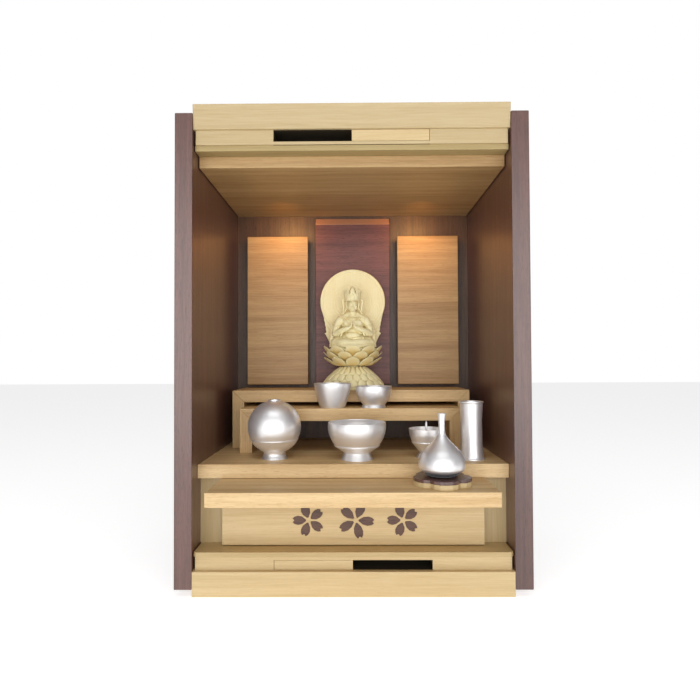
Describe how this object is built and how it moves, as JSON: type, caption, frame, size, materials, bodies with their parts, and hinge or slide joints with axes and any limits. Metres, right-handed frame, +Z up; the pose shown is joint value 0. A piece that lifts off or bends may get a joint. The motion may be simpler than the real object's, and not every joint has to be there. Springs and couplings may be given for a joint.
{
  "type": "household altar cabinet",
  "caption": "Open-fronted wooden household altar cabinet with drawer, pull-out tray, stepped stands, a carved seated figure on a lotus, metal vessels and a hand bell.",
  "frame": {"origin": "middle of the base board's underside", "axes": "+X to the right seen from the front, +Y towards the back, +Z up; the open front faces -Y"},
  "size_m": [0.4, 0.303, 0.554],
  "materials": {
    "walnut": "satin, straight grain",
    "dark_walnut": "satin, straight grain",
    "maple": "satin, fine grain",
    "aged_maple": "satin, fine figured grain",
    "pale_wood": "bare, fine grain",
    "carved_wood": "bare pale carving wood with gold edges",
    "satin_metal": "satin silver",
    "black_cloth": "matt woven"
  },
  "bodies": {
    "cabinet": {"side_panel_right": "walnut", "side_panel_left": "walnut", "base_board": "maple", "top_board": "maple", "back_board": "walnut", "top_rail": "maple", "bottom_rail": "maple", "top_trim_board": "maple", "ceiling_board": "aged_maple", "floor_board": "maple", "drawer_partition_right": "maple", "drawer_partition_left": "maple", "shelf": "aged_maple", "inner_stand_top": "aged_maple", "inner_stand_leg_left": "aged_maple", "inner_stand_leg_right": "aged_maple", "outer_stand_top": "aged_maple", "outer_stand_leg_left": "aged_maple", "outer_stand_leg_right": "aged_maple", "back_panel_right": "aged_maple", "panel_batten_right": "pale_wood", "back_panel_left": "aged_maple", "panel_batten_left": "pale_wood", "back_panel_center": "dark_walnut", "incense_stick_holder": "satin_metal", "incense_bowl": "satin_metal", "candle_stand": "satin_metal", "flower_vase": "satin_metal", "tea_cup": "satin_metal", "rice_cup": "satin_metal", "statue_pedestal": "carved_wood", "statue_lotus_seat": "carved_wood", "statue_halo": "carved_wood", "statue_figure": "carved_wood"},
    "top_latch": {"top_latch_block": "maple"},
    "bottom_latch": {"bottom_latch_block": "maple"},
    "pull_out_tray": {"tray": "aged_maple", "bell_base_lower": "maple", "bell_base_upper": "walnut", "bell_cushion": "black_cloth", "bell": "satin_metal"},
    "drawer": {"drawer_front": "maple", "drawer_box": "pale_wood", "petal_inlay_left_1": "walnut", "petal_inlay_left_2": "walnut", "petal_inlay_left_3": "walnut", "petal_inlay_left_4": "walnut", "petal_inlay_left_5": "walnut", "petal_inlay_middle_1": "walnut", "petal_inlay_middle_2": "walnut", "petal_inlay_middle_3": "walnut", "petal_inlay_middle_4": "walnut", "petal_inlay_middle_5": "walnut", "petal_inlay_right_1": "walnut", "petal_inlay_right_2": "walnut", "petal_inlay_right_3": "walnut", "petal_inlay_right_4": "walnut", "petal_inlay_right_5": "walnut"}
  },
  "joints": [
    {"name": "top_latch_slide", "type": "slide", "parent": "cabinet", "child": "top_latch", "axis": [-1, 0, 0], "range_m": [0, 0.0885]},
    {"name": "bottom_latch_slide", "type": "slide", "parent": "cabinet", "child": "bottom_latch", "axis": [1, 0, 0], "range_m": [0, 0.0885]},
    {"name": "tray_slide", "type": "slide", "parent": "cabinet", "child": "pull_out_tray", "axis": [0, -1, 0], "range_m": [0, 0.06]},
    {"name": "drawer_slide", "type": "slide", "parent": "cabinet", "child": "drawer", "axis": [0, -1, 0], "range_m": [0, 0.15]}
  ]
}
